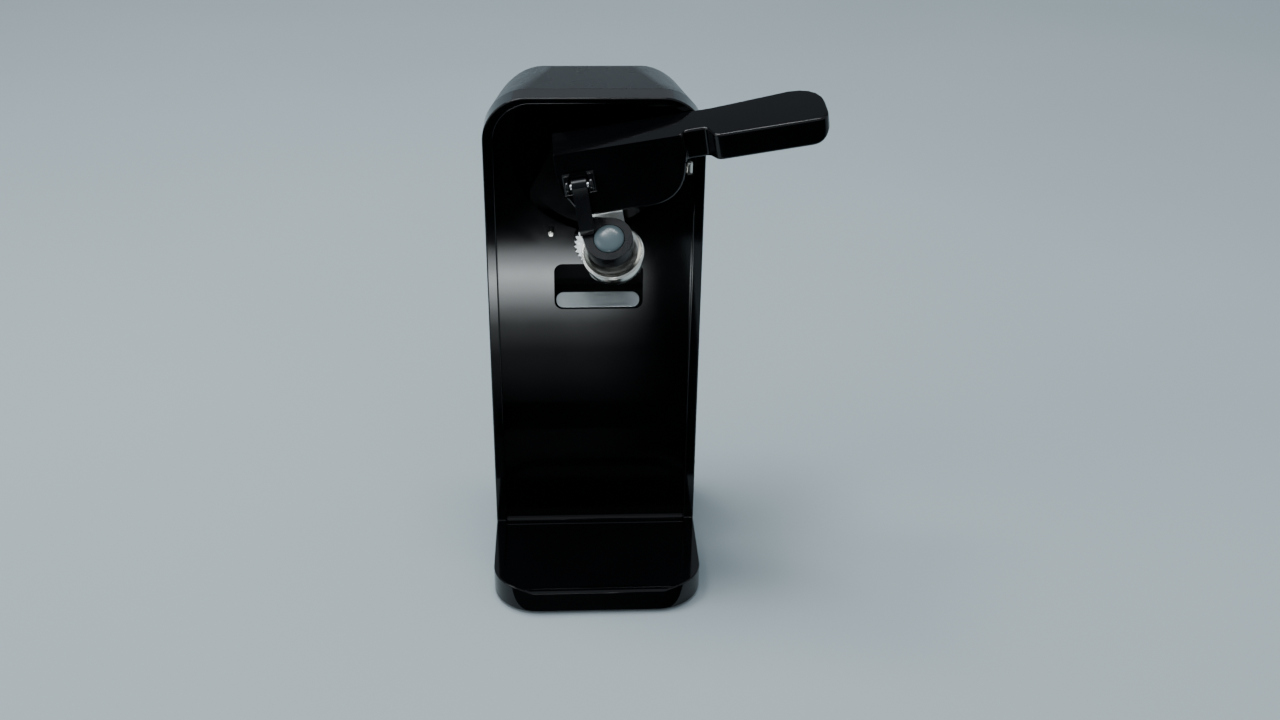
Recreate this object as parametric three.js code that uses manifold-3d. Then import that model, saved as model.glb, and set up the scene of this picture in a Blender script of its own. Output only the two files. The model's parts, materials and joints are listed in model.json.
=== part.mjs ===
// Electric can opener: an upright column on a flat foot, with a pressing lever that carries the cutter
// wheel and a lid magnet, and a geared motor inside. Millimetres, +X right, +Y to the rear, +Z up.
import * as THREE from "three";
import { mergeVertices } from "three/addons/utils/BufferGeometryUtils.js";
import Module from "manifold-3d";

const wasm = await Module();
wasm.setup();

// ---- Driving dimensions ----

const GAP = 0.3; // clearance between neighbouring pieces
const WALL = 2.5; // housing wall
const STANDOFF = 1.2; // the feet hold the housing this high off the table

const BODY = {
  halfWidth: 50, height: 235, depth: 60,
  topRadius: 20, // upper corners at the rim
  backTopRadius: 36, // upper corners at the back
  rearRadius: 14, // upright rear edges
  crownRadius: 12, // top edge at the back
};
const FOOT = { reach: 59.5, height: 13.5, radius: 22, edge: 3, trayDepth: 2.5, rimFront: 8 };
const SEAM_Y = 13.5; // parting line between the front and rear housings
const RIM = { side: 5, top: 3, depth: 3.2 }; // frame round the recessed fascia

const FASCIA = { y: RIM.depth + GAP, thickness: 2.5, bottom: 6 };
const POCKET = { x: 1.8, z: 210.2, radius: 39.5, top: 230, back: 11.7, wall: 2.2, browDrop: 8 };
const SLOPE = { angle: 50.7, y: 0.3, lift: 0.5 }; // the bottle catch lies on this slope
const RECESS = { left: -19, right: 22.7, bottom: 130.9, top: 154.2, radius: 4, back: 15.5, wall: 2 };

const LEVER_RAISE = THREE.MathUtils.degToRad(9.3); // handle lifted from level
const HEAD = {
  left: -19, right: 38, top: 8.6, bottom: -21.6, slope: 0.193,
  front: -19.5, split: -8, plateY: -5.6,
  flange: 34.5, flangeTop: 6.6,
};
const HANDLE = { start: 48, end: 101, front: -24.3, back: -1, flare: 2.6, bottom: -3.8, endRadius: 8.5 };
const PIVOT_PIN = { radius: 2.9, front: -9.5, back: 20.8 };

const CUTTER_TILT = THREE.MathUtils.degToRad(52); // how far the wheel's face looks up
const CUTTER = { x: -0.6, y: -22, z: -39, inner: 12.9, rim: 14, drum: 13.7, depth: 6.5, bore: 1.9 };
const PLATE = { thickness: 1.4, left: -9.3, right: 6.3, top: -9 };
const MAGNET = { x: -0.4, lift: 12, radius: 10.5, thickness: 7.4, capRadius: 6.7 };
const ARM = { x: -9.95, y: -23.2, z: -5.7, eye: 3.2, halfWidth: 3.3, pin: 1.3 };
const EAR = { gap: 0.9, width: 2.2 };

const DRIVE = { x: 0.7, z: 166.9, radius: 10.4, front: -3.4, back: -0.6, teeth: 26, shaft: 3.9 };
const POST = { x: -20.1, z: 171.5, radius: 1.4 };
const PLUNGER = { x: 41.8, y: -2.9, radius: 2.2, top: 207.6, bottom: 187, bossTop: 201.5, travel: 2 };
const FINGER = { halfWidth: 1.1, height: 2.4, reach: 12 };
const SWITCH = { y: [6.3, 14], z: [171, 181.5], pegs: [39.6, 44], pegZ: 174.5, pegRadius: 1 };
const BUTTON = { y: 10.5, radius: 1.2, inside: 3.5 };

const MODULE = 1; // gear tooth module
const TEETH = { output: 52, firstPinion: 14, firstWheel: 48, secondPinion: 12, secondWheel: 44, motor: 10 };
const LAYER = { output: [21, 26], first: [27, 31], second: [32.2, 36] }; // gear planes along Y
const PLATES = { front: [18.2, 19.8], rear: [38, 39.6] };
const AXLE = 1.9; // gear axle radius
const GEAR_OFFSET = -12; // the second gear stands to the left of the line of the others

const MOTOR = { halfWidth: 28, up: 17, down: 26, stack: [12, 29], rotor: 11.2, shaft: 2.2 };

const FEET = { x: 36, front: -42, rear: 42, radius: 5.5 };
const HOUSING_SCREWS = { x: 43, low: 24, high: 158 };
const BASE_SCREWS = { x: 24, y: -30 };
const GLAND = { x: -27, z: 17, hole: 5.2, bore: 3.2 };

// ---- Materials ----

const finish = (color, roughness, metalness) =>
  new THREE.MeshStandardMaterial({ color, roughness, metalness });
const MATERIAL = {
  gloss: () => finish(0x0a0b0d, 0.12, 0),
  satin: () => finish(0x15171a, 0.38, 0),
  lever: () => finish(0x0b0c0e, 0.16, 0),
  arm: () => finish(0x14181c, 0.35, 0),
  cap: () => finish(0x5d6b70, 0.35, 0),
  chrome: () => finish(0xd8d6cc, 0.15, 1),
  steel: () => finish(0xb9bab8, 0.35, 1),
  rubber: () => finish(0x1a1a1a, 0.8, 0),
  nylon: () => finish(0xe8e2d2, 0.5, 0),
  copper: () => finish(0xa8602c, 0.35, 1),
  laminate: () => finish(0x6a6c70, 0.55, 1),
  brass: () => finish(0xb98f45, 0.3, 1),
};

// ---- Solids: closed meshes joined and cut by manifold-3d ----

function solid(geometry) {
  const plain = geometry.clone();
  plain.deleteAttribute("normal");
  plain.deleteAttribute("uv");
  const merged = mergeVertices(plain, 1e-4);
  const index = merged.index.array;
  const triVerts = [];
  for (let i = 0; i < index.length; i += 3) {
    const [a, b, c] = [index[i], index[i + 1], index[i + 2]];
    if (a !== b && b !== c && c !== a) triVerts.push(a, b, c);
  }
  const mesh = new wasm.Mesh({
    numProp: 3,
    vertProperties: new Float32Array(merged.attributes.position.array),
    triVerts: new Uint32Array(triVerts),
  });
  return new wasm.Manifold(mesh);
}

function geometryOf(body) {
  const mesh = body.getMesh();
  const geometry = new THREE.BufferGeometry();
  geometry.setAttribute("position", new THREE.BufferAttribute(mesh.vertProperties, 3));
  geometry.setIndex(new THREE.BufferAttribute(mesh.triVerts, 1));
  geometry.computeVertexNormals();
  return geometry;
}

const join = (first, ...rest) => rest.reduce((sum, next) => sum.add(next), first);
const cut = (first, ...rest) => rest.reduce((sum, next) => sum.subtract(next), first);
const common = (first, ...rest) => rest.reduce((sum, next) => sum.intersect(next), first);

function extrude(shape, depth, segments = 6) {
  return new THREE.ExtrudeGeometry(shape, { depth, bevelEnabled: false, curveSegments: segments });
}

// A shape drawn in X and Z, from y0 to y1.
const alongY = (shape, y0, y1, segments) =>
  solid(extrude(shape, y1 - y0, segments).rotateX(Math.PI / 2).translate(0, y1, 0));

// A shape drawn in Y and Z, from x0 to x1.
const alongX = (shape, x0, x1, segments) =>
  solid(extrude(shape, x1 - x0, segments).rotateX(Math.PI / 2).rotateZ(Math.PI / 2).translate(x0, 0, 0));

// A shape drawn in X and Y, from z0 to z1.
const alongZ = (shape, z0, z1, segments) => solid(extrude(shape, z1 - z0, segments).translate(0, 0, z0));

// A solid between two convex outlines in X and Z with equally many points, at y0 and y1.
function loft(front, back, y0, y1, segments) {
  const rings = [front, back].map((shape) => shape.getPoints(segments));
  const count = rings[0].length;
  const positions = rings.flatMap((ring, k) => ring.flatMap(({ x, y }) => [x, k ? y1 : y0, y]));
  const index = [];
  for (let i = 0; i < count; i++) {
    const j = (i + 1) % count;
    index.push(i, count + i, j, j, count + i, count + j);
    if (i > 1) index.push(0, i - 1, i, count, count + i, count + i - 1);
  }
  const geometry = new THREE.BufferGeometry();
  geometry.setAttribute("position", new THREE.Float32BufferAttribute(positions, 3));
  geometry.setIndex(index);
  return solid(geometry);
}

// A profile of [radius, distance along the axis] turned round the Y axis.
function turned(profile, sides = 24) {
  const points = profile.map(([radius, y]) => new THREE.Vector2(radius, y));
  return solid(new THREE.LatheGeometry(points, sides));
}

const rod = (radius, y0, y1, sides) =>
  turned([[0, y0], [radius, y0], [radius, y1], [0, y1]], sides);

const tube = (outer, inner, y0, y1, sides) =>
  turned([[inner, y0], [outer, y0], [outer, y1], [inner, y1], [inner, y0]], sides);

// ---- Shapes ----

function polygon(points) {
  return new THREE.Shape(points.map(([x, y]) => new THREE.Vector2(x, y)));
}

const rectangle = (x0, y0, x1, y1) => polygon([[x0, y0], [x1, y0], [x1, y1], [x0, y1]]);

function disc(x, y, radius) {
  return new THREE.Shape().absarc(x, y, radius, 0, 2 * Math.PI, false);
}

// A rectangle whose corners have the radii [bottom left, bottom right, top right, top left].
function rounded(x0, y0, x1, y1, [bl, br, tr, tl]) {
  const shape = new THREE.Shape();
  const corner = (x, y, radius, turn) => {
    if (radius > 0) shape.absarc(x, y, radius, (turn * Math.PI) / 2, ((turn + 1) * Math.PI) / 2, false);
    else shape.lineTo(x, y);
  };
  shape.moveTo(x0 + bl, y0);
  corner(x1 - br, y0 + br, br, 3);
  corner(x1 - tr, y1 - tr, tr, 0);
  corner(x0 + tl, y1 - tl, tl, 1);
  corner(x0 + bl, y0 + bl, bl, 2);
  return shape;
}

// Outline of the housing, drawn in by `inset` on the sides and the top.
function frontOutline(inset, bottom, topRadius = BODY.topRadius) {
  const radius = topRadius - inset;
  const side = BODY.halfWidth - inset;
  return rounded(-side, bottom, side, BODY.height - inset, [0, 0, radius, radius]);
}

// Gear outline: trapezoid teeth, with a tooth centred on the angle `phase`.
function gearOutline(teeth, phase) {
  const pitchRadius = (teeth * MODULE) / 2;
  const tip = pitchRadius + 0.6 * MODULE;
  const root = pitchRadius - 1.1 * MODULE;
  const step = (2 * Math.PI) / teeth;
  const corners = [[-0.23, root], [-0.11, tip], [0.11, tip], [0.23, root]];
  const points = [];
  for (let i = 0; i < teeth; i++)
    for (const [share, radius] of corners) {
      const angle = phase + (i + share) * step;
      points.push([radius * Math.cos(angle), radius * Math.sin(angle)]);
    }
  return polygon(points);
}

const gear = (teeth, phase, [y0, y1]) => alongY(gearOutline(teeth, phase), y0, y1);

// ---- The scene graph ----

const opener = new THREE.Group();

function add(name, body, material, parent = opener) {
  const mesh = new THREE.Mesh(geometryOf(body), material());
  mesh.name = name;
  parent.add(mesh);
  return mesh;
}

// ---- Housing ----

function frontHousing() {
  const { halfWidth, height } = BODY;
  const seam = SEAM_Y - GAP / 2;
  const side = new THREE.Shape();
  side.moveTo(-FOOT.reach, STANDOFF);
  side.lineTo(seam, STANDOFF);
  side.lineTo(seam, height);
  side.lineTo(0, height);
  side.lineTo(0, FOOT.height);
  side.lineTo(-FOOT.reach + FOOT.edge, FOOT.height);
  side.absarc(-FOOT.reach + FOOT.edge, FOOT.height - FOOT.edge, FOOT.edge, Math.PI / 2, Math.PI, false);
  const plan = rounded(-halfWidth, -FOOT.reach, halfWidth, seam, [FOOT.radius, FOOT.radius, 0, 0]);
  const outside = common(
    alongX(side, -halfWidth, halfWidth, 5),
    alongY(frontOutline(0, 0), -FOOT.reach - 1, SEAM_Y, 10),
    alongZ(plan, 0, height + 1, 10),
  );

  const trayFloor = FOOT.height - FOOT.trayDepth;
  const inner = halfWidth - WALL;
  const innerFront = -FOOT.reach + WALL;
  const footRadius = FOOT.radius - WALL;
  const below = -1;
  const footRoom = alongZ(
    rounded(-inner, innerFront, inner, seam + 1, [footRadius, footRadius, 0, 0]),
    below,
    trayFloor - WALL,
    10,
  );
  const columnRoom = alongY(frontOutline(WALL, below), RIM.depth, seam + 1, 10);

  const opening = halfWidth - RIM.side;
  const trayRadius = FOOT.radius - RIM.side;
  const tray = alongZ(
    rounded(-opening, -FOOT.reach + FOOT.rimFront, opening, RIM.depth + 1, [trayRadius, trayRadius, 0, 0]),
    trayFloor,
    FOOT.height + 1,
    10,
  );
  const windowRadius = BODY.topRadius - RIM.top;
  const window = alongY(
    rounded(-opening, trayFloor, opening, height - RIM.top, [0, 0, windowRadius, windowRadius]),
    -1,
    RIM.depth + 1,
    10,
  );
  const shell = cut(outside, footRoom, columnRoom, tray, window);

  const bosses = [];
  const holes = [];
  const bossFront = FASCIA.y + FASCIA.thickness + GAP;
  for (const sign of [-1, 1])
    for (const z of [HOUSING_SCREWS.low, HOUSING_SCREWS.high]) {
      const [x0, x1] = [sign * 39.5, sign * (inner + 0.5)].sort((a, b) => a - b);
      bosses.push(alongY(rectangle(x0, z - 4, x1, z + 4), bossFront, seam - GAP));
      holes.push(alongY(disc(sign * HOUSING_SCREWS.x, z, 1.4), bossFront - 1, seam + 1, 4));
    }
  for (const sign of [-1, 1]) {
    bosses.push(alongZ(disc(sign * BASE_SCREWS.x, BASE_SCREWS.y, 3.5), 3.6, trayFloor - WALL + 0.5, 4));
    holes.push(alongZ(disc(sign * BASE_SCREWS.x, BASE_SCREWS.y, 1.4), 3, trayFloor - 1, 4));
  }
  return cut(join(shell, ...bosses), ...holes);
}

function rearHousing() {
  const { halfWidth, height, depth, backTopRadius, rearRadius, crownRadius } = BODY;
  const seam = SEAM_Y + GAP / 2;
  const shell = (inset, y0, z0) => {
    const side = rounded(y0, z0, depth - inset, height - inset, [0, 0, crownRadius - inset, 0]);
    const reach = halfWidth - inset;
    const corner = rearRadius - inset;
    const plan = rounded(-reach, y0, reach, depth - inset, [0, 0, corner, corner]);
    return common(
      alongX(side, -reach, reach, 5),
      loft(frontOutline(inset, z0 - 1), frontOutline(inset, z0 - 1, backTopRadius), y0, depth, 8),
      alongZ(plan, z0 - 1, height + 1, 5),
    );
  };
  let body = cut(shell(0, seam, STANDOFF), shell(WALL, seam - 2, -1));

  const screwHeadY = 22;
  for (const sign of [-1, 1])
    for (const z of [HOUSING_SCREWS.low, HOUSING_SCREWS.high]) {
      const x = sign * HOUSING_SCREWS.x;
      const post = common(alongY(disc(x, z, 5), seam + GAP, depth - 1, 5), shell(0, seam, STANDOFF));
      body = join(body, post);
      body = cut(body, alongY(disc(x, z, 1.8), seam - 1, depth + 1, 4));
      body = cut(body, alongY(disc(x, z, 3.5), screwHeadY, depth + 1, 5));
    }

  const vents = { count: 7, pitch: 6.5, halfWidth: 19, halfHeight: 1.4, first: 62 };
  for (let i = 0; i < vents.count; i++) {
    const z = vents.first + i * vents.pitch;
    const r = vents.halfHeight;
    const slot = rounded(-vents.halfWidth, z - r, vents.halfWidth, z + r, [r, r, r, r]);
    body = cut(body, alongY(slot, depth - 2 * WALL, depth + 1, 2));
  }
  return cut(body, alongY(disc(GLAND.x, GLAND.z, GLAND.hole), depth - 2 * WALL, depth + 1, 6));
}

function baseCover() {
  const inset = WALL + GAP;
  const reach = BODY.halfWidth - inset;
  const front = FOOT.radius - inset;
  const rear = BODY.rearRadius - inset;
  const plan = rounded(-reach, -FOOT.reach + inset, reach, BODY.depth - inset, [front, front, rear, rear]);
  let plate = alongZ(plan, STANDOFF, STANDOFF + 2, 8);
  for (const [x, y] of footPlaces()) plate = cut(plate, alongZ(disc(x, y, 2), 0, 5, 4));
  for (const sign of [-1, 1])
    plate = cut(
      plate,
      alongZ(disc(sign * BASE_SCREWS.x, BASE_SCREWS.y, 1.8), 0, 5, 4),
      alongZ(disc(sign * BASE_SCREWS.x, BASE_SCREWS.y, 3.2), 0, STANDOFF + 1.2, 5),
    );
  return plate;
}

function footPlaces() {
  return [-1, 1].flatMap((sign) => [FEET.front, FEET.rear].map((y) => [sign * FEET.x, y]));
}

// A rubber foot: a pad under the base with a stem and a barb through its hole.
function rubberFoot() {
  const pad = STANDOFF - GAP;
  return turned(
    [
      [0, 0], [FEET.radius - 0.4, 0], [FEET.radius, pad], [1.7, pad],
      [1.7, 3.6], [2.5, 3.8], [1.2, 6], [0, 6],
    ],
    14,
  );
}

// A pan-head screw along +Y: the head's top is at y = 0 and the shank points the other way.
function screw(headRadius, shankRadius, length) {
  const head = 1.8;
  return turned(
    [
      [0, -length], [shankRadius * 0.6, -length], [shankRadius, -length + 1], [shankRadius, -head],
      [headRadius, -head], [headRadius, -0.6], [headRadius * 0.7, 0], [0, 0],
    ],
    10,
  );
}

add("front_housing", frontHousing(), MATERIAL.gloss);
add("rear_housing", rearHousing(), MATERIAL.satin);
add("base_cover", baseCover(), MATERIAL.satin);

footPlaces().forEach(([x, y]) => {
  const name = `${y < 0 ? "front" : "rear"}_${x < 0 ? "left" : "right"}_foot`;
  const foot = add(name, rubberFoot(), MATERIAL.rubber);
  foot.rotation.x = Math.PI / 2;
  foot.position.set(x, y, 0);
});

for (const [side, sign] of [["left", -1], ["right", 1]]) {
  for (const [level, z] of [["low", HOUSING_SCREWS.low], ["high", HOUSING_SCREWS.high]]) {
    const item = add(`housing_screw_${level}_${side}`, screw(3, 1.1, 16.5), MATERIAL.steel);
    item.position.set(sign * HOUSING_SCREWS.x, 24.2, z);
  }
  const item = add(`base_screw_${side}`, screw(2.8, 1.1, 6.6), MATERIAL.steel);
  item.rotation.x = -Math.PI / 2;
  item.position.set(sign * BASE_SCREWS.x, BASE_SCREWS.y, STANDOFF - GAP - 1.8 + 1.2);
}

const glandRing = turned(
  [
    [GLAND.bore, -4.5], [GLAND.hole + 1.5, -4.5], [GLAND.hole + 1.5, -2.8], [GLAND.hole - GAP, -2.8],
    [GLAND.hole - GAP, GAP], [GLAND.hole + 1, GAP], [GLAND.hole + 1, 1.6], [GLAND.bore, 1.6],
    [GLAND.bore, -4.5],
  ],
  24,
);
add("cord_gland", glandRing, MATERIAL.rubber).position.set(GLAND.x, BODY.depth, GLAND.z);

// ---- Fascia, with the round head pocket, the bottle recess and the plunger's boss ----

function fascia() {
  const back = FASCIA.y + FASCIA.thickness;
  const limit = alongY(frontOutline(WALL + GAP, FASCIA.bottom), -20, 30, 10);
  const plate = alongY(frontOutline(WALL + GAP, FASCIA.bottom), FASCIA.y, back, 10);

  const pocketDisc = disc(POCKET.x, POCKET.z, POCKET.radius + POCKET.wall);
  const pocketOutside = alongY(pocketDisc, FASCIA.y, POCKET.back + 2, 24);
  const recessOutside = alongY(
    rectangle(
      RECESS.left - RECESS.wall,
      RECESS.bottom - RECESS.wall,
      RECESS.right + RECESS.wall,
      RECESS.top + RECESS.wall,
    ),
    FASCIA.y,
    RECESS.back + RECESS.wall,
  );
  const boss = alongY(
    rounded(PLUNGER.x - 3.3, 182, PLUNGER.x + 2.9, PLUNGER.bossTop, [2, 2, 1, 1]),
    PLUNGER.y - 3.3,
    back,
    3,
  );

  const hollow = common(
    alongY(disc(POCKET.x, POCKET.z, POCKET.radius), -1, POCKET.back, 24),
    alongY(rectangle(-60, 100, 60, POCKET.top), -1, POCKET.back),
  );
  const radii = [RECESS.radius, RECESS.radius, RECESS.radius, RECESS.radius];
  const mouth = rounded(RECESS.left, RECESS.bottom, RECESS.right, RECESS.top, radii);
  const recess = alongY(mouth, FASCIA.y - 1, RECESS.back, 4);

  const browY = back + 0.3;
  const brow = alongX(
    polygon([
      [browY, POCKET.top + 0.5],
      [POCKET.back + 0.5, POCKET.top - POCKET.browDrop],
      [POCKET.back + 0.5, POCKET.top + 0.5],
    ]),
    POCKET.x - POCKET.radius,
    POCKET.x + POCKET.radius,
  );
  const browLimit = alongY(disc(POCKET.x, POCKET.z, POCKET.radius + 1), 0, 20, 24);
  const rampBase = RECESS.bottom - 0.5;
  const ramp = common(
    alongX(
      polygon([
        [FASCIA.y + 0.6, rampBase],
        [RECESS.back + 0.5, rampBase],
        [RECESS.back + 0.5, RECESS.bottom + 7.4],
        [FASCIA.y + 6.4, RECESS.bottom + 6.6],
      ]),
      RECESS.left - 0.5,
      RECESS.right + 0.5,
    ),
    alongY(mouth, FASCIA.y, RECESS.back + 1, 4),
  );
  const hub = alongY(disc(POCKET.x, POCKET.z, 7), POCKET.back - 2.6, POCKET.back + 1, 6);

  let body = common(join(plate, pocketOutside, recessOutside, boss), limit);
  body = cut(body, hollow, recess);
  body = join(body, common(brow, browLimit), ramp, hub);
  const pegs = SWITCH.pegs.map((x) => alongY(disc(x, SWITCH.pegZ, SWITCH.pegRadius), back - 0.5, 12, 3));
  body = join(body, ...pegs);
  const low = PLUNGER.bottom - PLUNGER.travel - 1;
  const slotWidth = FINGER.halfWidth + GAP;
  return cut(
    body,
    alongZ(disc(PLUNGER.x, PLUNGER.y, PLUNGER.radius + GAP), low, 260, 5),
    alongY(
      rectangle(PLUNGER.x - slotWidth, low, PLUNGER.x + slotWidth, PLUNGER.bottom + FINGER.height + 1.5),
      PLUNGER.y,
      back + 3,
    ),
    alongY(disc(POCKET.x, POCKET.z, PIVOT_PIN.radius + GAP), 0, 20, 6),
    alongY(disc(DRIVE.x, DRIVE.z, DRIVE.shaft + 0.8), 0, 20, 6),
    alongY(disc(POST.x, POST.z, POST.radius + GAP), 0, 20, 4),
  );
}

add("fascia", fascia(), MATERIAL.gloss);

const post = turned(
  [[0, -2], [POST.radius * 0.7, -2], [POST.radius, -1.4], [POST.radius, FASCIA.y + 8], [0, FASCIA.y + 8]],
  16,
);
add("locating_post", post, MATERIAL.chrome).position.set(POST.x, 0, POST.z);

// The push rod stands in the boss; its finger reaches back through the fascia to the switch's button.
const rodProfile = [[0, PLUNGER.bottom], [PLUNGER.radius, PLUNGER.bottom]];
for (const angle of [0, 25, 50, 72].map(THREE.MathUtils.degToRad)) {
  const rise = PLUNGER.radius * 0.8 * (Math.sin(angle) - 1);
  rodProfile.push([PLUNGER.radius * Math.cos(angle), PLUNGER.top + rise]);
}
const pushRod = turned([...rodProfile, [0, PLUNGER.top]], 16).rotate([90, 0, 0]);
const finger = alongX(
  rectangle(0, PLUNGER.bottom, FINGER.reach - PLUNGER.y, PLUNGER.bottom + FINGER.height),
  -FINGER.halfWidth,
  FINGER.halfWidth,
);
add("switch_plunger", join(pushRod, finger), MATERIAL.chrome).position.set(PLUNGER.x, PLUNGER.y, 0);

const [switchFront, switchRear] = SWITCH.y;
const [switchLow, switchHigh] = SWITCH.z;
const switchBox = join(
  alongX(rectangle(switchFront, switchLow, switchRear, switchHigh), 37.5, 46),
  alongX(rectangle(7.5, switchLow - 5, 8.3, switchLow + 1), 40, 41.5),
  alongX(rectangle(12, switchLow - 5, 12.8, switchLow + 1), 40, 41.5),
);
const pegHoles = SWITCH.pegs.map((x) =>
  alongY(disc(x, SWITCH.pegZ, SWITCH.pegRadius + GAP), switchFront - 1, switchRear + 1, 4),
);
const buttonLow = switchHigh - BUTTON.inside;
const buttonBore = alongZ(
  disc(PLUNGER.x, BUTTON.y, BUTTON.radius + GAP),
  buttonLow - PLUNGER.travel - GAP,
  switchHigh + 1,
  5,
);
add("microswitch", cut(switchBox, buttonBore, ...pegHoles), MATERIAL.satin);
const button = alongZ(disc(PLUNGER.x, BUTTON.y, BUTTON.radius), buttonLow, PLUNGER.bottom - GAP, 5);
add("switch_button", button, MATERIAL.nylon);

// The bottle-cap catch, a rounded steel plate on the slope at the bottom of the recess.
const catchPlate = alongZ(rounded(-20.2, 0, 19.4, 7.6, [3.8, 3.8, 3.8, 3.8]), 0, 1.2, 5)
  .rotate([SLOPE.angle, 0, 0])
  .translate([(RECESS.left + RECESS.right) / 2, FASCIA.y + SLOPE.y, RECESS.bottom + SLOPE.lift]);
add("bottle_catch", catchPlate, MATERIAL.steel);

// ---- Lever: drawn level with its pivot at the origin, then raised ----

const lever = new THREE.Group();
lever.position.set(POCKET.x, 0, POCKET.z);
lever.rotation.y = -LEVER_RAISE;
opener.add(lever);

// Plan of the bar: head edge, neck set back, then the handle, which stands further forward.
function barPlan() {
  const { front } = HEAD;
  const { start, end, back } = HANDLE;
  const neckFront = front + 3;
  const plan = new THREE.Shape();
  plan.moveTo(HEAD.left, back);
  plan.lineTo(HEAD.left, front + 0.6);
  plan.lineTo(HEAD.left + 1, front);
  plan.lineTo(HEAD.right - 2.5, front);
  plan.quadraticCurveTo(HEAD.right, front, HEAD.right + 0.5, front + 2.5);
  plan.quadraticCurveTo(HEAD.right + 1, neckFront, HEAD.right + 4, neckFront);
  plan.lineTo(start - 1.5, neckFront);
  plan.quadraticCurveTo(start, neckFront, start + 0.8, neckFront - 2);
  plan.lineTo(start + 2, HANDLE.front + 3);
  plan.quadraticCurveTo(start + 3, HANDLE.front, start + 6, HANDLE.front);
  plan.lineTo(end - 6, HANDLE.front);
  plan.quadraticCurveTo(end, HANDLE.front, end, HANDLE.front + 7);
  plan.lineTo(end, HANDLE.flare - 14);
  plan.quadraticCurveTo(end - 1, HANDLE.flare, end - 14, HANDLE.flare);
  plan.lineTo(start + 4, back);
  return plan;
}

// Front face of the head, down to the steel plate.
function facePlan() {
  const { left, right, top, bottom } = HEAD;
  const face = new THREE.Shape();
  face.moveTo(left, top);
  face.quadraticCurveTo(left - 1.5, -6, -15, -15);
  face.quadraticCurveTo(-12, bottom, -5, bottom);
  face.lineTo(20, bottom);
  face.bezierCurveTo(31, bottom, 36, -14, 37, -6);
  face.quadraticCurveTo(37.2, -3, right - 0.5, -3);
  face.lineTo(right - 0.5, top);
  return face;
}

// Half disc that swings in the round pocket.
function flangePlan() {
  const [from, to] = [Math.PI * 1.11, Math.PI * 1.92];
  const plan = new THREE.Shape();
  plan.moveTo(HEAD.left, HEAD.flangeTop);
  plan.lineTo(HEAD.flange * Math.cos(from), HEAD.flange * Math.sin(from));
  plan.absarc(0, 0, HEAD.flange, from, to, false);
  plan.lineTo(HEAD.right - 6, HEAD.flangeTop);
  return plan;
}

// The two ears that hold the pin of the magnet arm.
function armEar(sign) {
  const centre = ARM.x + sign * (ARM.halfWidth + EAR.gap + EAR.width / 2);
  const ear = new THREE.Shape();
  ear.moveTo(HEAD.front + 1, ARM.z - 4.5);
  ear.lineTo(ARM.y, ARM.z - 3);
  ear.absarc(ARM.y, ARM.z, 3, -Math.PI / 2, -Math.PI * 1.5, true);
  ear.lineTo(HEAD.front + 1, ARM.z + 4.5);
  return alongX(ear, centre - EAR.width / 2, centre + EAR.width / 2, 6);
}

function leverBody() {
  const { front, split } = HEAD;
  const bar = common(
    alongZ(barPlan(), HANDLE.bottom, 30, 5),
    alongY(rounded(HEAD.left, HANDLE.bottom, HANDLE.end, 30, [0, HANDLE.endRadius, 0, 0]), -40, 10, 7),
  );
  const face = alongY(facePlan(), front, split, 8);
  const web = alongY(rectangle(HEAD.left + 1, -6, HEAD.right - 6, HEAD.top), split - 1, 1);
  const flange = alongY(flangePlan(), 0, POCKET.back - 3.7, 24);
  const roofAt = (y) => HEAD.top + HEAD.slope * (y - front);
  const roof = alongX(polygon([[-40, -60], [20, -60], [20, roofAt(20)], [-40, roofAt(-40)]]), -60, 120);
  const body = common(join(bar, face, web, flange), roof);
  return cut(
    join(body, armEar(-1), armEar(1)),
    alongX(disc(ARM.y, ARM.z, ARM.pin + GAP), ARM.x - 9, ARM.x + 9, 5),
    alongY(disc(0, 0, PIVOT_PIN.radius + GAP), PIVOT_PIN.front - GAP, 20, 6),
    ...[-1, 1].map((sign) => alongY(disc(sign * 4, -13, 1.2), split - 5, 0, 4)),
  );
}

add("lever", leverBody(), MATERIAL.lever, lever);

const pinHalf = ARM.halfWidth + EAR.gap + EAR.width;
const armPin = rod(ARM.pin, -pinHalf, pinHalf, 16);
const pinMesh = add("magnet_arm_pin", armPin, MATERIAL.steel, lever);
pinMesh.rotation.z = -Math.PI / 2;
pinMesh.position.set(ARM.x, ARM.y, ARM.z);

// The cutter's own frame: its front face looks along -Y and its centre is at the origin.
const cutterFrame = new THREE.Group();
cutterFrame.position.set(CUTTER.x, CUTTER.y, CUTTER.z);
cutterFrame.rotation.x = -CUTTER_TILT;
lever.add(cutterFrame);

const dish = turned(
  [
    [CUTTER.bore, 5], [4, 5], [5, 4.4], [11.2, 1.6], [CUTTER.inner, 0], [CUTTER.inner + 0.35, -0.2],
    [CUTTER.rim - 0.35, 0.1], [CUTTER.rim, 0.6], [CUTTER.rim, 1.2], [CUTTER.drum - 0.3, 1.5],
    [CUTTER.drum, CUTTER.depth], [CUTTER.bore, CUTTER.depth], [CUTTER.bore, 5],
  ],
  48,
);
add("cutter_wheel", dish, MATERIAL.chrome, cutterFrame);

const axleProfile = [
  [0, 3.6], [3.4, 3.8], [3.6, 4.6], [CUTTER.bore - GAP, 4.6], [CUTTER.bore - GAP, 9.2],
  [2.6, 9.2], [2.6, 10.4], [0, 10.4],
];
add("cutter_axle", turned(axleProfile, 20), MATERIAL.steel, cutterFrame);
const washer = tube(4.6, CUTTER.bore, CUTTER.depth + 0.2, CUTTER.depth + 0.7, 20);
add("cutter_washer", washer, MATERIAL.steel, cutterFrame);

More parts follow.
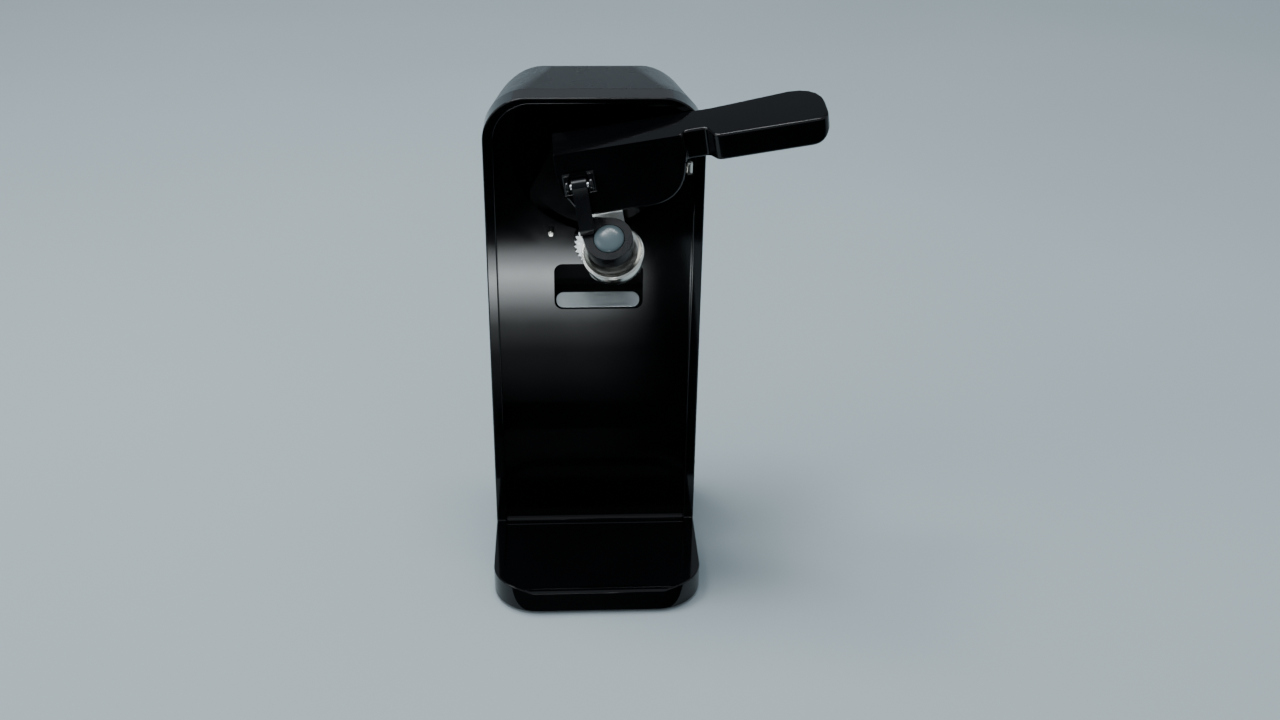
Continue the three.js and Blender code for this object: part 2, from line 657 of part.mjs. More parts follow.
function leverPlate() {
  const along = new THREE.Vector2(Math.sin(CUTTER_TILT), Math.cos(CUTTER_TILT)); // up the tab, in Y and Z
  const outward = new THREE.Vector2(along.y, -along.x); // from the tab towards the rear
  const seat = new THREE.Vector2(CUTTER.y, CUTTER.z).addScaledVector(outward, CUTTER.depth + 1);
  const bend = seat.clone().addScaledVector(along, (HEAD.plateY - seat.x) / along.x);
  const tip = seat.clone().addScaledVector(along, -5);
  const back = (point) => [
    point.x + outward.x * PLATE.thickness,
    point.y + outward.y * PLATE.thickness,
  ];
  const rearBend = HEAD.plateY + PLATE.thickness;
  const tabBack = back(bend);
  const slide = (rearBend - tabBack[0]) / along.x;
  const profile = polygon([
    [HEAD.plateY, PLATE.top],
    [HEAD.plateY, bend.y],
    [tip.x, tip.y],
    back(tip),
    [rearBend, tabBack[1] + slide * along.y],
    [rearBend, PLATE.top],
  ]);
  const plate = alongX(profile, PLATE.left, PLATE.right);
  const axleHole = rod(CUTTER.bore, CUTTER.depth, 12, 20)
    .rotate([THREE.MathUtils.radToDeg(-CUTTER_TILT), 0, 0])
    .translate([CUTTER.x, CUTTER.y, CUTTER.z]);
  const screwHoles = [-1, 1].map((sign) => alongY(disc(sign * 4, -13, 1.5), HEAD.plateY - 1, 0, 4));
  return cut(plate, axleHole, ...screwHoles);
}

add("lever_plate", leverPlate(), MATERIAL.steel, lever);
for (const [side, sign] of [["left", -1], ["right", 1]]) {
  const item = add(`lever_plate_screw_${side}`, screw(2.4, 0.9, 7), MATERIAL.steel, lever);
  item.position.set(sign * 4, HEAD.plateY + PLATE.thickness + GAP + 1.8, -13);
}

// ---- Lid magnet on its hinged arm ----

// Side view of the strap: the eye round its pin, then the strap leaning forward onto the holder's face.
function strapProfile() {
  const profile = new THREE.Shape();
  profile.moveTo(ARM.y + ARM.eye, ARM.z);
  profile.absarc(ARM.y, ARM.z, ARM.eye, 0, Math.PI, false);
  profile.lineTo(ARM.y - ARM.eye + 0.4, -11);
  profile.lineTo(-28.1, -24.2);
  profile.lineTo(-27.3, -27.2);
  profile.lineTo(-24, -27.4);
  profile.lineTo(-22.6, -20);
  profile.lineTo(ARM.y + 1.8, -11.5);
  return profile;
}

// Outline of the holder: a disc that flows up into the strap's width.
function holderPlan() {
  const { radius } = MAGNET;
  const centre = CUTTER.x + MAGNET.x;
  const outer = [ARM.x - ARM.halfWidth - centre, 7];
  const inner = [ARM.x + ARM.halfWidth - centre, 12];
  const tangent = ([x, z], side) => Math.atan2(z, x) + side * Math.acos(radius / Math.hypot(x, z));
  const plan = new THREE.Shape();
  plan.absarc(0, 0, radius, tangent(outer, 1), tangent(inner, -1) + 2 * Math.PI, false);
  plan.lineTo(...inner);
  plan.lineTo(...outer);
  return plan;
}

function magnetArm() {
  const strap = extrude(strapProfile(), 2 * ARM.halfWidth, 6)
    .rotateX(Math.PI / 2)
    .rotateZ(Math.PI / 2)
    .translate(ARM.x - ARM.halfWidth, 0, 0);
  const place = (body) =>
    body
      .translate([MAGNET.x, -MAGNET.lift, 0])
      .rotate([THREE.MathUtils.radToDeg(-CUTTER_TILT), 0, 0])
      .translate([CUTTER.x, CUTTER.y, CUTTER.z]);
  const { thickness, capRadius } = MAGNET;
  const holder = place(alongY(holderPlan(), 0, thickness, 36));
  const capSeat = place(rod(capRadius + GAP, -5, 1.6, 32));
  const magnetSeat = place(rod(8 + GAP, 3, thickness + 1, 32));
  const pinHole = alongX(disc(ARM.y, ARM.z, ARM.pin + GAP), ARM.x - 9, ARM.x + 9, 5);
  return cut(join(solid(strap), holder), capSeat, magnetSeat, pinHole);
}

add("magnet_arm", magnetArm(), MATERIAL.arm, lever);
const magnetFrame = new THREE.Group();
magnetFrame.position.set(MAGNET.x, -MAGNET.lift, 0);
cutterFrame.add(magnetFrame);
add("magnet", rod(8, 3.4, MAGNET.thickness - 0.2, 28), MATERIAL.steel, magnetFrame);

const capProfile = [[0, -2.4]];
for (const share of [0.3, 0.55, 0.8, 0.95]) {
  capProfile.push([MAGNET.capRadius * share, -2.4 * Math.sqrt(1 - share * share)]);
}
capProfile.push([MAGNET.capRadius, 0], [MAGNET.capRadius, 1.3], [0, 1.3]);
add("magnet_cap", turned(capProfile, 28), MATERIAL.cap, magnetFrame);

// ---- Lever pivot, its clip and the return spring behind the fascia ----

const pivotPin = turned(
  [
    [0, PIVOT_PIN.front], [PIVOT_PIN.radius - 0.6, PIVOT_PIN.front],
    [PIVOT_PIN.radius, PIVOT_PIN.front + 0.6], [PIVOT_PIN.radius, PIVOT_PIN.back],
    [PIVOT_PIN.radius + 1.6, PIVOT_PIN.back], [PIVOT_PIN.radius + 1.6, PIVOT_PIN.back + 1.4],
    [0, PIVOT_PIN.back + 1.4],
  ],
  24,
);
add("lever_pivot_pin", pivotPin, MATERIAL.steel).position.set(POCKET.x, 0, POCKET.z);

class Helix extends THREE.Curve {
  getPoint(t) {
    const angle = 2 * Math.PI * 3 * t;
    return new THREE.Vector3(5 * Math.cos(angle), 14.9 + 2.7 * t, 5 * Math.sin(angle));
  }
}
const wire = disc(0, 0, 0.4);
const springGeometry = new THREE.ExtrudeGeometry(wire, {
  steps: 42, bevelEnabled: false, extrudePath: new Helix(), curveSegments: 2,
});
add("lever_return_spring", solid(springGeometry), MATERIAL.steel).position.set(POCKET.x, 0, POCKET.z);

// ---- Gear train ----

const centres = (() => {
  const radius = (teeth) => (teeth * MODULE) / 2;
  const drive = new THREE.Vector2(DRIVE.x, DRIVE.z);
  const first = new THREE.Vector2(DRIVE.x, DRIVE.z - radius(TEETH.output) - radius(TEETH.firstPinion));
  const below = (from, reach, x) => {
    const dx = x - from.x;
    return new THREE.Vector2(x, from.y - Math.sqrt(reach * reach - dx * dx));
  };
  const second = below(first, radius(TEETH.firstWheel) + radius(TEETH.secondPinion), GEAR_OFFSET);
  const motor = below(second, radius(TEETH.secondWheel) + radius(TEETH.motor), DRIVE.x);
  return { drive, first, second, motor };
})();

// Phase that puts a follower's gap on the leader's tooth, on the line between their centres.
function meshPhase(leader, follower, leaderTeeth, followerTeeth, leaderPhase) {
  const line = Math.atan2(follower.y - leader.y, follower.x - leader.x);
  const leaderShare = ((line - leaderPhase) * leaderTeeth) / (2 * Math.PI);
  return line + Math.PI - ((0.5 - leaderShare) * 2 * Math.PI) / followerTeeth;
}

const firstPhase = meshPhase(centres.drive, centres.first, TEETH.output, TEETH.firstPinion, 0);
const secondPhase = meshPhase(centres.first, centres.second, TEETH.firstWheel, TEETH.secondPinion, firstPhase);
const motorPhase = meshPhase(centres.second, centres.motor, TEETH.secondWheel, TEETH.motor, secondPhase);

const place = (mesh, centre) => mesh.position.set(centre.x, 0, centre.y);

function compound(wheelTeeth, wheelLayer, pinionTeeth, pinionLayer, phase) {
  const body = join(
    gear(wheelTeeth, phase, wheelLayer),
    gear(pinionTeeth, phase, pinionLayer),
    alongY(disc(0, 0, 4), Math.min(wheelLayer[0], pinionLayer[0]), Math.max(wheelLayer[1], pinionLayer[1]), 5),
  );
  return cut(body, alongY(disc(0, 0, AXLE + GAP), 0, 60, 5));
}

const outputGear = cut(
  join(gear(TEETH.output, 0, LAYER.output), alongY(disc(0, 0, 8), 20.2, LAYER.output[1], 6)),
  alongY(disc(0, 0, DRIVE.shaft + GAP), 0, 60, 8),
);
place(add("output_gear", outputGear, MATERIAL.nylon), centres.drive);
const firstGear = compound(TEETH.firstWheel, LAYER.first, TEETH.firstPinion, [21, 27.2], firstPhase);
place(add("first_gear", firstGear, MATERIAL.nylon), centres.first);
const secondGear = compound(TEETH.secondWheel, LAYER.second, TEETH.secondPinion, [27.2, 32.4], secondPhase);
place(add("second_gear", secondGear, MATERIAL.nylon), centres.second);
const pinionBore = alongY(disc(0, 0, MOTOR.shaft + 0.2), 0, 60, 5);
const pinion = cut(gear(TEETH.motor, motorPhase, LAYER.second), pinionBore);
place(add("motor_pinion", pinion, MATERIAL.brass), centres.motor);

for (const [name, centre] of [["first_gear_axle", centres.first], ["second_gear_axle", centres.second]]) {
  place(add(name, rod(AXLE, PLATES.front[0] - 0.2, PLATES.rear[1] + 1, 16), MATERIAL.steel), centre);
}

// Drive wheel: a serrated disc on the shaft, whose teeth grip the can's rim.
function driveWheel() {
  const points = [];
  for (let i = 0; i < DRIVE.teeth; i++) {
    const step = (2 * Math.PI) / DRIVE.teeth;
    points.push([DRIVE.radius - 1.3, i * step], [DRIVE.radius, (i + 0.35) * step]);
  }
  const outline = polygon(points.map(([r, angle]) => [r * Math.cos(angle), r * Math.sin(angle)]));
  const face = alongY(outline, DRIVE.front, DRIVE.back);
  const collar = alongY(disc(0, 0, 6.2), DRIVE.back - 0.5, FASCIA.y - 0.8, 8);
  return cut(join(face, collar), alongY(disc(0, 0, DRIVE.shaft + GAP), -10, 20, 8));
}

place(add("drive_wheel", driveWheel(), MATERIAL.chrome), centres.drive);
const shaftProfile = [
  [0, DRIVE.front - 0.4], [DRIVE.shaft - 0.6, DRIVE.front - 0.4], [DRIVE.shaft, DRIVE.front + 0.2],
  [DRIVE.shaft, 41.5], [0, 41.5],
];
place(add("drive_shaft", turned(shaftProfile, 24), MATERIAL.steel), centres.drive);
const bush = (y0, y1) => tube(6.4, DRIVE.shaft + GAP, y0, y1, 24);
place(add("drive_bush_front", bush(17.9, 19.9), MATERIAL.brass), centres.drive);
place(add("drive_bush_rear", bush(37.8, 39.9), MATERIAL.brass), centres.drive);

const POSTS = [[-21, 192], [21, 192], [23, 108.5]];
const platePlan = { left: -27, right: 27, bottom: 103, rearTop: 197, frontTop: 218, radius: 5 };

function gearPlate([y0, y1], top, extraHoles) {
  const { left, right, bottom, radius: r } = platePlan;
  const holes = [
    [centres.drive, 6.4 + GAP],
    [centres.first, AXLE + GAP],
    [centres.second, AXLE + GAP],
    ...POSTS.map(([x, z]) => [{ x, y: z }, 1.6 + GAP]),
    ...extraHoles,
  ];
  const sheet = alongY(rounded(left, bottom, right, top, [r, r, r, r]), y0, y1, 4);
  const bores = holes.map(([centre, radius]) => alongY(disc(centre.x, centre.y, radius), y0 - 1, y1 + 1, 6));
  return cut(sheet, ...bores);
}

const pivotHole = [{ x: POCKET.x, y: POCKET.z }, PIVOT_PIN.radius + GAP];
add("gear_plate_front", gearPlate(PLATES.front, platePlan.frontTop, [pivotHole]), MATERIAL.steel);
add("gear_plate_rear", gearPlate(PLATES.rear, platePlan.rearTop, []), MATERIAL.steel);

POSTS.forEach(([x, z], i) => {
  const spacer = turned(
    [
      [0, PLATES.front[0] - 1], [1.6, PLATES.front[0] - 1], [1.6, PLATES.front[1] + GAP],
      [2.9, PLATES.front[1] + GAP], [2.9, PLATES.rear[0] - GAP], [1.6, PLATES.rear[0] - GAP],
      [1.6, PLATES.rear[1] + 1], [0, PLATES.rear[1] + 1],
    ],
    14,
  );
  add(`gear_post_${i + 1}`, spacer, MATERIAL.steel).position.set(x, 0, z);
});

// ---- Motor ----

function stator() {
  const { halfWidth, up, down, stack, rotor } = MOTOR;
  const block = alongY(rounded(-halfWidth, -down, halfWidth, up, [3, 3, 3, 3]), ...stack, 3);
  const holes = [-1, 1].map((sign) => alongY(disc(sign * 22, 11, 1.8 + GAP), 0, 60, 4));
  return cut(
    block,
    alongY(disc(0, 0, rotor + 0.6), 0, 60, 10),
    alongY(rectangle(-19, -20.2, 19, -14.2), 0, 60),
    ...holes,
  );
}

function coil() {
  const [y0, y1] = MOTOR.stack;
  const around = alongX(rounded(y0 - 4.5, -MOTOR.down - 4.5, y1 + 4.5, -14.6, [2, 2, 1, 1]), -16, 16, 3);
  return cut(around, alongX(rectangle(y0 - GAP, -MOTOR.down - GAP, y1 + GAP, -20.2 + GAP), -20, 20));
}

function bracket(y0, y1) {
  const bar = alongY(rounded(-26, -5, 26, 14.5, [4, 4, 3, 3]), y0, y1, 3);
  const holes = [-1, 1].map((sign) => alongY(disc(sign * 22, 11, 1.8 + GAP), 0, 60, 4));
  return cut(bar, alongY(disc(0, 0, MOTOR.shaft + GAP), 0, 60, 5), ...holes);
}

function fan() {
  const blades = 9;
  let body = alongY(disc(0, 0, 6), 42, 49, 6);
  body = join(body, alongY(disc(0, 0, 17), 42, 43, 10));
  for (let i = 0; i < blades; i++) {
    const blade = alongY(rectangle(4, -0.6, 18, 0.6), 42.5, 49).rotate([0, (i * 360) / blades, 0]);
    body = join(body, blade);
  }
  return cut(body, alongY(disc(0, 0, MOTOR.shaft + 0.2), 0, 60, 5));
}

const rotorCore = cut(
  rod(MOTOR.rotor, MOTOR.stack[0] - 0.8, MOTOR.stack[1] + 0.8, 28),
  rod(MOTOR.shaft + 0.2, 0, 60, 16),
);
const boltBody = turned(
  [[0, 7.4], [3, 7.4], [3, 8.6], [1.8, 8.6], [1.8, 32], [0, 32]].map(([r, y]) => [r, y - 0.4]),
  14,
);
place(add("motor_stator", stator(), MATERIAL.laminate), centres.motor);
place(add("motor_coil", coil(), MATERIAL.copper), centres.motor);
place(add("motor_bracket_front", bracket(8.6, 10.2), MATERIAL.steel), centres.motor);
place(add("motor_bracket_rear", bracket(30.5, 31.7), MATERIAL.steel), centres.motor);
place(add("rotor_core", rotorCore, MATERIAL.laminate), centres.motor);
place(add("rotor_shaft", rod(MOTOR.shaft, 7.8, 50, 16), MATERIAL.steel), centres.motor);
place(add("cooling_fan", fan(), MATERIAL.nylon), centres.motor);
for (const [side, sign] of [["left", -1], ["right", 1]]) {
  const bolt = add(`motor_bolt_${side}`, boltBody, MATERIAL.steel);
  bolt.position.set(centres.motor.x + sign * 22, 0, centres.motor.y + 11);
}

// ---- Origin: the middle of the box round the whole opener, on the table ----

const part = new THREE.Group();
part.add(opener);
part.updateMatrixWorld(true);
const middle = new THREE.Box3().setFromObject(opener, true).getCenter(new THREE.Vector3());
opener.position.set(-middle.x, -middle.y, 0);

export default part;
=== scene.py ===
"""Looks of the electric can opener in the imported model's frame: metres, +X right, +Y back, +Z up."""

import json
import math

import bmesh
import bpy
from mathutils import Matrix, Vector


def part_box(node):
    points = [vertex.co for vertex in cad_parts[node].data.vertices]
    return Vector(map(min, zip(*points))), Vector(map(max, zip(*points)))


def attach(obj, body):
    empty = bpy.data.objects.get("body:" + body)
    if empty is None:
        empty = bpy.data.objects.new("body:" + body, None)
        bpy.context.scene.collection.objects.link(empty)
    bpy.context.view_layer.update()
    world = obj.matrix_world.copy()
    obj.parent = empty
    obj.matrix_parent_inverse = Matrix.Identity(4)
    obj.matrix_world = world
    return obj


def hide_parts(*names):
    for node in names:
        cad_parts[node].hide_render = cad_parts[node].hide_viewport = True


MM = 0.001

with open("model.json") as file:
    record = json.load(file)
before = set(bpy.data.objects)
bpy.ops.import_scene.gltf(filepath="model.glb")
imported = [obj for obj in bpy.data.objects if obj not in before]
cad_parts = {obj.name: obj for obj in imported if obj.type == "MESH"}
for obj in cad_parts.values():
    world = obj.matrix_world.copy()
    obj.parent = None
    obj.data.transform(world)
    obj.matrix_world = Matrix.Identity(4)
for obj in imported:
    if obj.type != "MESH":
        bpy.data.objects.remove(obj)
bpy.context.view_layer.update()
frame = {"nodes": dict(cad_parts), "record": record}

# ---- Places taken from the frame ----

JOINTS = {joint["name"]: joint for joint in frame["record"]["behaviour"]["joints"]}
HOUSING_LOW, HOUSING_HIGH = (Vector(corner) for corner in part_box("front_housing"))
MIDDLE_X = (HOUSING_LOW.x + HOUSING_HIGH.x) / 2
FOOT_REACH = 59.5 * MM
RIM_Y = HOUSING_LOW.y + FOOT_REACH  # plane of the rim round the fascia
FASCIA_Y = RIM_Y + 3.5 * MM
TRAY_Z = 11 * MM
PANEL_TOP_Z = 160 * MM  # below it the openings in the fascia have satin walls

# What counts as one point, one flat face and one edge in a solid's triangles.
WELD_DISTANCE = 0.002 * MM
FLAT_ANGLE = math.radians(0.4)
EDGE_ANGLE = math.radians(32)


# ---- Node materials ----


def new_material(name):
    material = bpy.data.materials.new(name)
    material.use_nodes = True
    return material, material.node_tree.nodes, material.node_tree.links


def noise(nodes, links, coords, scale, detail=3.0, distortion=0.0):
    texture = nodes.new("ShaderNodeTexNoise")
    texture.inputs["Scale"].default_value = scale
    texture.inputs["Detail"].default_value = detail
    texture.inputs["Distortion"].default_value = distortion
    links.new(coords, texture.inputs["Vector"])
    return texture.outputs["Fac"]


def remap(nodes, links, value, low, high, from_low=0.3, from_high=0.7):
    node = nodes.new("ShaderNodeMapRange")
    node.inputs["From Min"].default_value = from_low
    node.inputs["From Max"].default_value = from_high
    node.inputs["To Min"].default_value = low
    node.inputs["To Max"].default_value = high
    links.new(value, node.inputs["Value"])
    return node.outputs["Result"]


def blend_colors(nodes, links, factor, first, second):
    ramp = nodes.new("ShaderNodeValToRGB")
    ramp.color_ramp.elements[0].position = 0.3
    ramp.color_ramp.elements[0].color = (*first, 1)
    ramp.color_ramp.elements[1].position = 0.7
    ramp.color_ramp.elements[1].color = (*second, 1)
    links.new(factor, ramp.inputs["Fac"])
    return ramp.outputs["Color"]


def add_bump(nodes, links, height, strength, distance, below=None):
    bump = nodes.new("ShaderNodeBump")
    bump.inputs["Strength"].default_value = strength
    bump.inputs["Distance"].default_value = distance
    links.new(height, bump.inputs["Height"])
    if below is not None:
        links.new(below, bump.inputs["Normal"])
    return bump.outputs["Normal"]


def object_coords(nodes):
    return nodes.new("ShaderNodeTexCoord").outputs["Object"]


def axis_coord(nodes, links, axis):
    split = nodes.new("ShaderNodeSeparateXYZ")
    links.new(object_coords(nodes), split.inputs["Vector"])
    return split.outputs[axis]


def stretched(nodes, links, coords, scale):
    mapping = nodes.new("ShaderNodeMapping")
    mapping.inputs["Scale"].default_value = scale
    links.new(coords, mapping.inputs["Vector"])
    return mapping.outputs["Vector"]


def plastic(name, dark, light, rough, grain, orange_peel=0.02, specular=0.5):
    """Moulded plastic: slow colour drift, faint handling haze in the gloss and a fine moulded surface."""
    material, nodes, links = new_material(name)
    shader = nodes["Principled BSDF"]
    coords = object_coords(nodes)
    drift = noise(nodes, links, coords, 28, 4)
    links.new(blend_colors(nodes, links, drift, dark, light), shader.inputs["Base Color"])
    haze = noise(nodes, links, coords, 55, 6, 0.6)
    links.new(remap(nodes, links, haze, *rough), shader.inputs["Roughness"])
    slow = add_bump(nodes, links, noise(nodes, links, coords, 70, 1), orange_peel, 0.4 * MM)
    fine = noise(nodes, links, coords, 2600, 2)
    links.new(add_bump(nodes, links, fine, grain, 0.04 * MM, slow), shader.inputs["Normal"])
    shader.inputs["Specular IOR Level"].default_value = specular
    return material


def satin_recess(material, start_y, top_z, rough):
    """Turns the gloss satin behind a plane and below a height: a recess with grained walls."""
    nodes, links = material.node_tree.nodes, material.node_tree.links
    socket = nodes["Principled BSDF"].inputs["Roughness"]
    outside = socket.links[0].from_socket
    behind = remap(nodes, links, axis_coord(nodes, links, "Y"), 0, 1, start_y, start_y + 0.5 * MM)
    below = remap(nodes, links, axis_coord(nodes, links, "Z"), 1, 0, top_z, top_z + 1 * MM)
    both = nodes.new("ShaderNodeMath")
    both.operation = "MULTIPLY"
    links.new(behind, both.inputs[0])
    links.new(below, both.inputs[1])
    mix = nodes.new("ShaderNodeMix")
    links.new(both.outputs["Value"], mix.inputs["Factor"])
    links.new(outside, mix.inputs["A"])
    mix.inputs["B"].default_value = rough
    links.new(mix.outputs["Result"], socket)
    return material


def metal(name, dark, light, rough, brushing=(900, 900, 900), depth=0.05):
    """Metal with tool marks: the brushing runs along the axis with the smallest scale."""
    material, nodes, links = new_material(name)
    shader = nodes["Principled BSDF"]
    coords = object_coords(nodes)
    marks = noise(nodes, links, stretched(nodes, links, coords, brushing), 1, 4)
    patches = noise(nodes, links, coords, 120, 4)
    links.new(blend_colors(nodes, links, patches, dark, light), shader.inputs["Base Color"])
    links.new(remap(nodes, links, marks, *rough), shader.inputs["Roughness"])
    links.new(add_bump(nodes, links, marks, depth, 0.05 * MM), shader.inputs["Normal"])
    shader.inputs["Metallic"].default_value = 1.0
    return material


def turned_metal(name, dark, light, rough, rings_per_mm, depth):
    """Metal turned on a lathe, for a piece whose own Z axis is the lathe's: rings in the surface."""
    material, nodes, links = new_material(name)
    shader = nodes["Principled BSDF"]
    coords = object_coords(nodes)
    split = nodes.new("ShaderNodeSeparateXYZ")
    links.new(coords, split.inputs["Vector"])
    flat = nodes.new("ShaderNodeCombineXYZ")
    links.new(split.outputs["X"], flat.inputs["X"])
    links.new(split.outputs["Y"], flat.inputs["Y"])
    length = nodes.new("ShaderNodeVectorMath")
    length.operation = "LENGTH"
    links.new(flat.outputs["Vector"], length.inputs[0])
    rings = nodes.new("ShaderNodeTexNoise")
    rings.noise_dimensions = "1D"
    rings.inputs["Scale"].default_value = rings_per_mm / MM
    rings.inputs["Detail"].default_value = 3
    links.new(length.outputs["Value"], rings.inputs["W"])
    smudge = noise(nodes, links, coords, 160, 5, 0.4)
    links.new(blend_colors(nodes, links, smudge, dark, light), shader.inputs["Base Color"])
    links.new(remap(nodes, links, smudge, *rough), shader.inputs["Roughness"])
    links.new(add_bump(nodes, links, rings.outputs["Fac"], depth, 0.03 * MM), shader.inputs["Normal"])
    shader.inputs["Metallic"].default_value = 1.0
    return material


def banded(name, dark, light, rough, bands_per_mm, direction, metallic, depth):
    """Stacked sheets or wound wire: fine bands across one axis."""
    material, nodes, links = new_material(name)
    shader = nodes["Principled BSDF"]
    coords = object_coords(nodes)
    wave = nodes.new("ShaderNodeTexWave")
    wave.bands_direction = direction
    wave.inputs["Scale"].default_value = bands_per_mm / MM * 0.314
    wave.inputs["Distortion"].default_value = 0.4
    links.new(coords, wave.inputs["Vector"])
    links.new(blend_colors(nodes, links, wave.outputs["Fac"], dark, light), shader.inputs["Base Color"])
    links.new(remap(nodes, links, noise(nodes, links, coords, 90), *rough), shader.inputs["Roughness"])
    links.new(add_bump(nodes, links, wave.outputs["Fac"], depth, 0.15 * MM), shader.inputs["Normal"])
    shader.inputs["Metallic"].default_value = metallic
    return material


def gloss_black(name):
    return plastic(
        name, (0.0010, 0.0011, 0.0016), (0.0018, 0.0020, 0.0028), (0.05, 0.09), 0.02, specular=0.38
    )


MATERIALS = {
    "gloss": gloss_black("gloss_black"),
    "fascia": satin_recess(gloss_black("fascia_black"), FASCIA_Y + 0.6 * MM, PANEL_TOP_Z, 0.8),
    "lever": plastic(
        "lever_black", (0.0012, 0.0013, 0.0018), (0.0022, 0.0024, 0.0032), (0.08, 0.13), 0.03, specular=0.4
    ),
    "shell": plastic(
        "shell_black", (0.0035, 0.0040, 0.0048), (0.0065, 0.0070, 0.0082), (0.22, 0.30), 0.2, specular=0.4
    ),
    "under": plastic("base_black", (0.012, 0.012, 0.013), (0.020, 0.020, 0.022), (0.42, 0.52), 0.5),
    "switch": plastic("switch_black", (0.02, 0.02, 0.022), (0.035, 0.035, 0.036), (0.4, 0.55), 0.4),
    "rubber": plastic(
        "rubber", (0.012, 0.012, 0.012), (0.024, 0.024, 0.023), (0.62, 0.78), 0.7, specular=0.3
    ),
    "arm": plastic(
        "arm_black", (0.0012, 0.0018, 0.0030), (0.0024, 0.0034, 0.0052), (0.24, 0.32), 0.12, specular=0.22
    ),
    "cap": plastic("cap_grey", (0.095, 0.135, 0.145), (0.125, 0.17, 0.18), (0.20, 0.30), 0.12),
    "nylon": plastic("nylon", (0.72, 0.68, 0.58), (0.82, 0.79, 0.70), (0.38, 0.5), 0.3),
    "chrome": turned_metal("chrome", (0.80, 0.79, 0.73), (0.90, 0.89, 0.83), (0.18, 0.24), 1.2, 0.006),
    # Painted highlight: the plate's steel has a whiter base colour than the steel of the bottle catch,
    # standing in for the strong light that falls on the plate.
    "plate": metal(
        "plate_steel_painted_bright", (0.88, 0.89, 0.88), (0.95, 0.95, 0.93), (0.40, 0.52), (400, 3000, 3000), 0.08
    ),
    "steel": metal("steel", (0.62, 0.66, 0.66), (0.76, 0.80, 0.79), (0.28, 0.42), (60, 900, 900), 0.12),
    "zinc": metal("zinc", (0.52, 0.53, 0.54), (0.64, 0.64, 0.63), (0.26, 0.42)),
    "brass": metal("brass", (0.52, 0.37, 0.14), (0.66, 0.49, 0.21), (0.2, 0.32)),
    "nickel": metal("nickel", (0.60, 0.58, 0.53), (0.72, 0.70, 0.65), (0.14, 0.26)),
    "winding": banded(
        "winding", (0.26, 0.09, 0.03), (0.62, 0.27, 0.10), (0.25, 0.4), 2.2, "X", 0.9, 0.6
    ),
    "laminate": banded(
        "laminate", (0.16, 0.165, 0.17), (0.33, 0.335, 0.34), (0.35, 0.5), 1.6, "Y", 0.9, 0.4
    ),
}

# Looks of the nodes: material, width of the rounded edge in millimetres (0 leaves it hard), and segments.
NODE_LOOKS = {
    "front_housing": ("gloss", 0.9, 4),
    "fascia": ("fascia", 0, 0),
    "rear_housing": ("shell", 0.5, 2),
    "base_cover": ("under", 0.3, 2),
    "lever": ("lever", 1.2, 4),
    "lever_plate": ("plate", 0.2, 2),
    "magnet_arm": ("arm", 0.35, 2),
    "bottle_catch": ("steel", 0.3, 2),
    "drive_wheel": ("zinc", 0.12, 1),
    "locating_post": ("nickel", 0.1, 1),
    "switch_plunger": ("nickel", 0.1, 1),
    "microswitch": ("switch", 0.2, 1),
    "switch_button": ("nylon", 0.15, 1),
    "output_gear": ("nylon", 0.12, 1),
    "first_gear": ("nylon", 0.1, 1),
    "second_gear": ("nylon", 0.1, 1),
    "cooling_fan": ("nylon", 0.15, 1),
    "motor_pinion": ("brass", 0.08, 1),
    "drive_bush_front": ("brass", 0.15, 1),
    "drive_bush_rear": ("brass", 0.15, 1),
    "motor_coil": ("winding", 0.8, 2),
    "motor_stator": ("laminate", 0.2, 1),
    "rotor_core": ("laminate", 0.2, 1),
    "cord_gland": ("rubber", 0.3, 2),
    "magnet": ("nickel", 0.2, 1),
}


def assign(obj, material):
    obj.data.materials.clear()
    obj.data.materials.append(material)


def shade_smooth(obj):
    for polygon in obj.data.polygons:
        polygon.use_smooth = True


def round_edges(obj, width, segments):
    """Joins a solid's loose triangles into flat faces, then rounds its edges and smooths its shading."""
    weld = obj.modifiers.new("weld", "WELD")
    weld.merge_threshold = WELD_DISTANCE
    merge = obj.modifiers.new("merge_flat", "DECIMATE")
    merge.decimate_type = "DISSOLVE"
    merge.angle_limit = FLAT_ANGLE
    bevel = obj.modifiers.new("round", "BEVEL")
    bevel.width = width * MM
    bevel.segments = segments
    bevel.limit_method = "ANGLE"
    bevel.angle_limit = EDGE_ANGLE
    bevel.harden_normals = True
    weighted = obj.modifiers.new("normals", "WEIGHTED_NORMAL")
    weighted.keep_sharp = True
    shade_smooth(obj)


def dress_nodes():
    for name, node in frame["nodes"].items():
        if name.endswith("_foot"):
            look = ("rubber", 0.25, 2)
        else:
            look = NODE_LOOKS.get(name, ("zinc", 0.15, 1))
        material, width, segments = look
        assign(node, MATERIALS[material])
        if width:
            round_edges(node, width, segments)


# ---- New pieces ----


def lathe(name, profile, sides, material):
    """Turns [radius, height] points (millimetres) round the Z axis into one closed mesh."""
    mesh = bpy.data.meshes.new(name)
    shape = bmesh.new()
    rings = []
    for radius, height in profile:
        if radius == 0:
            rings.append([shape.verts.new((0, 0, height * MM))])
            continue
        ring = []
        for i in range(sides):
            angle = 2 * math.pi * i / sides
            x = radius * MM * math.cos(angle)
            y = radius * MM * math.sin(angle)
            ring.append(shape.verts.new((x, y, height * MM)))
        rings.append(ring)
    for lower, upper in zip(rings, rings[1:]):
        for i in range(sides):
            j = (i + 1) % sides
            below = [lower[i % len(lower)], lower[j % len(lower)]]
            above = [upper[j % len(upper)], upper[i % len(upper)]]
            distinct = list(dict.fromkeys(below + above))
            if len(distinct) > 2:
                shape.faces.new(distinct)
    bmesh.ops.recalc_face_normals(shape, faces=shape.faces)
    shape.to_mesh(mesh)
    shape.free()
    obj = bpy.data.objects.new(name, mesh)
    bpy.context.collection.objects.link(obj)
    assign(obj, material)
    shade_smooth(obj)
    mesh.set_sharp_from_angle(angle=math.radians(50))
    return obj


